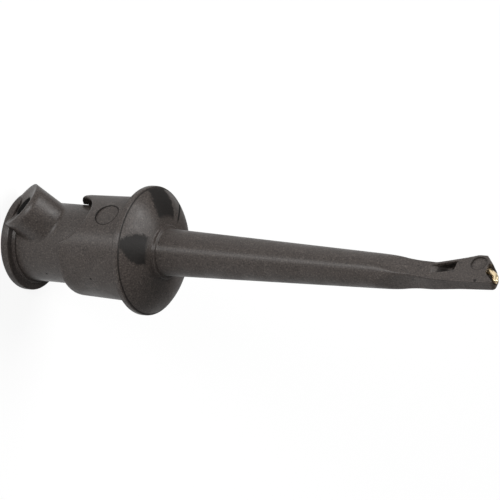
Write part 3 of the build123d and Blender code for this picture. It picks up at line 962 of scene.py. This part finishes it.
class CLIP_OT_plunger(bpy.types.Operator):
    """Build the plunger with its leaning wire boss"""

    bl_idname = "clip.plunger"
    bl_label = "Plunger"

    def execute(self, context):
        material, *nodes = nylon_material("plunger_nylon", context.scene.clip_nylon, False)
        shade_plunger(*nodes, context.scene.clip_plunger)
        place_piece("plunger_skin", merged_copy("plunger"), "plunger", ["plunger"], material)
        return {"FINISHED"}


class CLIP_OT_thumb_cap(bpy.types.Operator):
    """Build the thumb cap as one turned outline"""

    bl_idname = "clip.thumb_cap"
    bl_label = "Thumb Cap"

    def execute(self, context):
        s = context.scene.clip_cap
        corners = [
            (0, 0),
            (0, s.radius),
            (s.thickness, s.radius),
            (s.thickness, s.collar_radius),
            (s.collar_end, s.collar_radius),
            (s.collar_end, s.spigot_radius),
            (s.spigot_end, s.spigot_radius),
            (s.spigot_end, s.spigot_bore),
            (s.collar_end, s.spigot_bore),
            (s.collar_end, 0),
        ]
        soft = s.front_round
        outline = rounded_outline(corners, [0, s.rear_round, soft, soft, soft / 2, 0, soft, soft, 0, 0])
        mesh = shape("thumb_cap_skin", *turned(outline, 128))
        material, *_ = nylon_material("cap_nylon", context.scene.clip_nylon, True)
        place_piece("thumb_cap_skin", mesh, "plunger", ["thumb_cap"], material)
        return {"FINISHED"}


class CLIP_OT_hook(bpy.types.Operator):
    """Build the gold-plated hook wire as a round section carried along its bent line"""

    bl_idname = "clip.hook"
    bl_label = "Hook Wire"

    def execute(self, context):
        s = context.scene.clip_hook
        corners = [(s.tail, 0), (s.rear, 0), (s.rear, s.peak), tuple(s.claw), tuple(s.end)]
        line = bent_line(corners, [0, *s.bends, 0], 0.06 * MM)
        mesh = shape("hook_wire", *wire(line, s.wire_radius))
        metal = context.scene.clip_metal
        material = metal_material("gold_plating", metal, metal.gold, 0.26, (1, 0.4, 0.08))
        place_piece("hook_wire", mesh, "plunger", ["hook_contact"], material)
        return {"FINISHED"}


class CLIP_OT_inside(bpy.types.Operator):
    """Give the hidden terminal and spring their metals"""

    bl_idname = "clip.inside"
    bl_label = "Terminal and Spring"

    def execute(self, context):
        s = context.scene.clip_metal
        metals = {
            "solder_terminal": metal_material("turned_brass", s, s.brass, 0.28, (1, 0.1, 0.1)),
            "return_spring": metal_material("drawn_steel", s, s.steel, 0.3, (0.3, 1, 1)),
        }
        for name, material in metals.items():
            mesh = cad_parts[name].data
            mesh.materials.clear()
            mesh.materials.append(material)
        return {"FINISHED"}


def soft_light(name, place, target, size, power):
    """A rectangular white area light that faces a point."""
    data = bpy.data.lights.new(name, "AREA")
    data.shape = "RECTANGLE"
    data.size, data.size_y = size
    data.energy = power
    lamp = bpy.data.objects.new(name, data)
    lamp.location = place
    lamp.rotation_euler = (target - place).to_track_quat("-Z", "Y").to_euler()
    bpy.context.scene.collection.objects.link(lamp)


def seen_white(tree):
    """1 for camera, glossy and transmission rays, 0 for the rays that light the object."""
    path = node(tree, "ShaderNodeLightPath")
    first = math_node(tree, "MAXIMUM", path.outputs["Is Camera Ray"], path.outputs["Is Glossy Ray"])
    return math_node(tree, "MAXIMUM", first, path.outputs["Is Transmission Ray"])


class CLIP_OT_stage(bpy.types.Operator):
    """Set the camera, the pale floor, the world and the soft lights"""

    bl_idname = "clip.stage"
    bl_label = "Stage"

    def execute(self, context):
        s = context.scene.clip_stage
        scene = context.scene
        data = bpy.data.cameras.new("photo_camera")
        data.lens = s.lens
        data.sensor_width = 36.0
        data.clip_start = 0.01
        data.clip_end = 20.0
        camera = bpy.data.objects.new("photo_camera", data)
        right = Vector(VIEW_RIGHT).normalized()
        ahead = Vector(VIEW_AHEAD).normalized()
        up = right.cross(ahead).normalized()
        turn = Matrix((right, up, -ahead)).transposed()
        camera.matrix_world = Matrix.Translation(s.camera) @ turn.to_4x4()
        scene.collection.objects.link(camera)
        scene.camera = camera

        centre = (CAD_BOX[0] + CAD_BOX[1]) / 2
        key = centre + TO_KEY_LIGHT * s.distance + Vector((0, 0, s.key_height))
        top = centre + TO_TOP_LIGHT * s.distance
        soft_light("key_softbox", key, centre, s.key_size, s.key)
        soft_light("top_softbox", top, centre, s.fill_size, s.fill)

        world = bpy.data.worlds.new("studio")
        scene.world = world
        world.use_nodes = True
        tree = world.node_tree
        background = tree.nodes["Background"]
        background.inputs["Color"].default_value = WHITE
        background.inputs["Strength"].default_value = s.world

        lowest = CAD_BOX[0][2]
        mesh = bpy.data.meshes.new("floor")
        corners = np.array([(-1, -1), (1, -1), (1, 1), (-1, 1)]) * s.floor
        mesh.from_pydata([(x, y, lowest) for x, y in corners], [], [(0, 1, 2, 3)])
        floor = bpy.data.objects.new("floor", mesh)
        scene.collection.objects.link(floor)
        material, tree, shader, _ = material_nodes("pale_floor")
        shader.inputs["Base Color"].default_value = (0.96, 0.96, 0.96, 1)
        shader.inputs["Roughness"].default_value = 0.9
        shader.inputs["Specular IOR Level"].default_value = 0.0
        glow = node(tree, "ShaderNodeEmission")
        glow.inputs["Color"].default_value = WHITE
        mixed = node(tree, "ShaderNodeMixShader")
        tree.links.new(product(tree, seen_white(tree), 1 - s.shadow), mixed.inputs["Fac"])
        tree.links.new(shader.outputs["BSDF"], mixed.inputs[1])
        tree.links.new(glow.outputs["Emission"], mixed.inputs[2])
        tree.links.new(mixed.outputs["Shader"], tree.nodes["Material Output"].inputs["Surface"])
        mesh.materials.append(material)

        scene.view_settings.view_transform = "Standard"
        return {"FINISHED"}


OPERATORS = (
    CLIP_OT_barrel,
    CLIP_OT_plunger,
    CLIP_OT_thumb_cap,
    CLIP_OT_hook,
    CLIP_OT_inside,
    CLIP_OT_stage,
)


class CLIP_PT_panel(bpy.types.Panel):
    """Lists the pieces of the clip and their sizes"""

    bl_idname = "CLIP_PT_panel"
    bl_label = "Grabber Test Clip"
    bl_space_type = "VIEW_3D"
    bl_region_type = "UI"
    bl_category = "Test Clip"

    def draw(self, context):
        for operator in OPERATORS:
            self.layout.operator(operator.bl_idname)
        for name, group in GROUPS.items():
            box = self.layout.box()
            box.label(text=group.__doc__)
            for key in group.__annotations__:
                box.prop(getattr(context.scene, name), key)


def register():
    for group in GROUPS.values():
        bpy.utils.register_class(group)
    for name, group in GROUPS.items():
        setattr(bpy.types.Scene, name, bpy.props.PointerProperty(type=group))
    for made in (*OPERATORS, CLIP_PT_panel):
        bpy.utils.register_class(made)


def unregister():
    for made in reversed((*OPERATORS, CLIP_PT_panel)):
        bpy.utils.unregister_class(made)
    for name, group in reversed(GROUPS.items()):
        delattr(bpy.types.Scene, name)
        bpy.utils.unregister_class(group)


def main():
    register()
    bpy.ops.clip.barrel()
    bpy.ops.clip.plunger()
    bpy.ops.clip.thumb_cap()
    bpy.ops.clip.hook()
    bpy.ops.clip.inside()
    bpy.ops.clip.stage()


if __name__ == "__main__":
    main()
